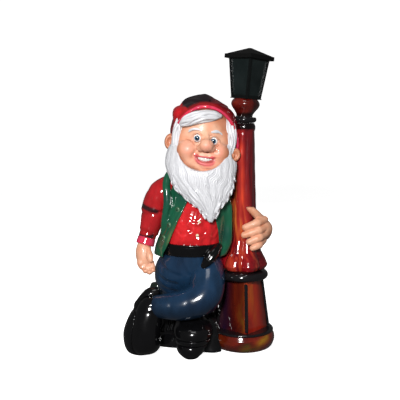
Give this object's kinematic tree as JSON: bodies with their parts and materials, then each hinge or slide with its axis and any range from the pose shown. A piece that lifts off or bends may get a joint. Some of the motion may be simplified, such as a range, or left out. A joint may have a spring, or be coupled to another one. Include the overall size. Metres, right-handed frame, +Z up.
{
  "type": "garden gnome with lamp post",
  "caption": "Free-standing painted garden gnome leaning on a lamp post whose lantern swivels, has a hinged roof and takes a screw-in bulb.",
  "frame": {"origin": "middle of the outline on the ground, at the underside of the post's foot", "axes": "+Z up, the gnome faces -Y, the post stands on its +X side"},
  "size_m": [0.458, 0.249, 0.9014],
  "materials": {
    "hat_red": "glossy dark red lacquer with black bands",
    "brim_pink": "glossy pink-red lacquer",
    "skin": "glossy flesh-coloured lacquer",
    "eye_white": "glossy white with blue irises",
    "teeth_white": "glossy white",
    "hair_white": "white lacquer with grey in the grooves",
    "shirt_red": "glossy red lacquer",
    "button_cream": "glossy cream",
    "cuff_pink": "glossy pink-red lacquer",
    "waistcoat_green": "glossy green lacquer",
    "button_green": "glossy dark green",
    "belt_black": "glossy black lacquer",
    "trousers_blue": "glossy dark blue lacquer",
    "boot_black": "glossy black lacquer",
    "stump_dark": "glossy dark green and black lacquer",
    "ground_black": "glossy black lacquer",
    "post_brown": "lacquer marbled in red-brown, orange, ochre and olive",
    "post_red": "lacquer marbled in red-brown and orange",
    "post_black": "glossy black lacquer",
    "plate_grey": "moulded dark grey",
    "steel": "zinc-plated",
    "rubber": "black rubber",
    "block_cream": "moulded cream",
    "wire": "white flex",
    "brass": "plain brass",
    "lantern_black": "semi-gloss black paint",
    "pane_smoke": "smoked dark grey-green sheet",
    "holder_white": "moulded white",
    "bulb_opal": "opal glass",
    "cap_steel": "nickel-plated screw cap"
  },
  "bodies": {
    "figure": {"hat": "hat_red", "hat_brim": "brim_pink", "head": "skin", "eye_right": "eye_white", "eye_left": "eye_white", "teeth": "teeth_white", "eyebrows": "hair_white", "hair_fringe": "hair_white", "hair_right": "hair_white", "hair_left": "hair_white", "hair_back": "hair_white", "beard": "hair_white", "shirt_torso": "shirt_red", "shirt_buttons": "button_cream", "sleeve_right": "shirt_red", "sleeve_left": "shirt_red", "cuff_right": "cuff_pink", "cuff_left": "cuff_pink", "hand_right": "skin", "hand_left": "skin", "waistcoat": "waistcoat_green", "waistcoat_buttons": "button_green", "belt": "belt_black", "belt_tail": "belt_black", "trousers": "trousers_blue", "trouser_leg_crossed": "trousers_blue", "boot_right": "boot_black", "boot_left": "boot_black", "boot_sole_right": "boot_black", "boot_sole_left": "boot_black", "stump": "stump_dark", "ground_mound": "ground_black", "post_foot": "post_brown", "post_foot_rim": "post_black", "plinth": "post_brown", "plinth_corner_beads": "post_black", "post_ring": "post_black", "post_shaft": "post_red", "post_collar": "post_black", "capital": "post_red", "foot_closing_plate": "plate_grey", "closing_plate_screws": "steel", "cable_grommet": "rubber", "terminal_block": "block_cream", "post_wires": "wire"},
    "lantern": {"lantern_tube": "brass", "tube_nuts": "brass", "lantern_floor": "lantern_black", "lantern_cage": "lantern_black", "pane_front_left": "pane_smoke", "pane_front_right": "pane_smoke", "pane_rear_left": "pane_smoke", "pane_rear_right": "pane_smoke", "lamp_holder": "holder_white", "hinge_pin": "steel"},
    "roof": {"roof": "lantern_black"},
    "bulb": {"bulb_glass": "bulb_opal", "bulb_cap": "cap_steel"}
  },
  "joints": [
    {"name": "lantern_swivel", "type": "hinge", "parent": "figure", "child": "lantern", "pos_m": [0.131, 0.0185, 0.701], "axis": [0.0785, 0, 0.9969], "range_deg": [-170, 170]},
    {"name": "roof_hinge", "type": "hinge", "parent": "lantern", "child": "roof", "pos_m": [0.18337, 0.0576, 0.86801], "axis": [-0.7049, 0.7071, 0.0555], "range_deg": [0, 100]},
    {"name": "bulb_turn", "type": "hinge", "parent": "lantern", "child": "bulb", "pos_m": [0.13822, 0.0185, 0.79272], "axis": [0.0785, 0, 0.9969], "continuous": true}
  ]
}
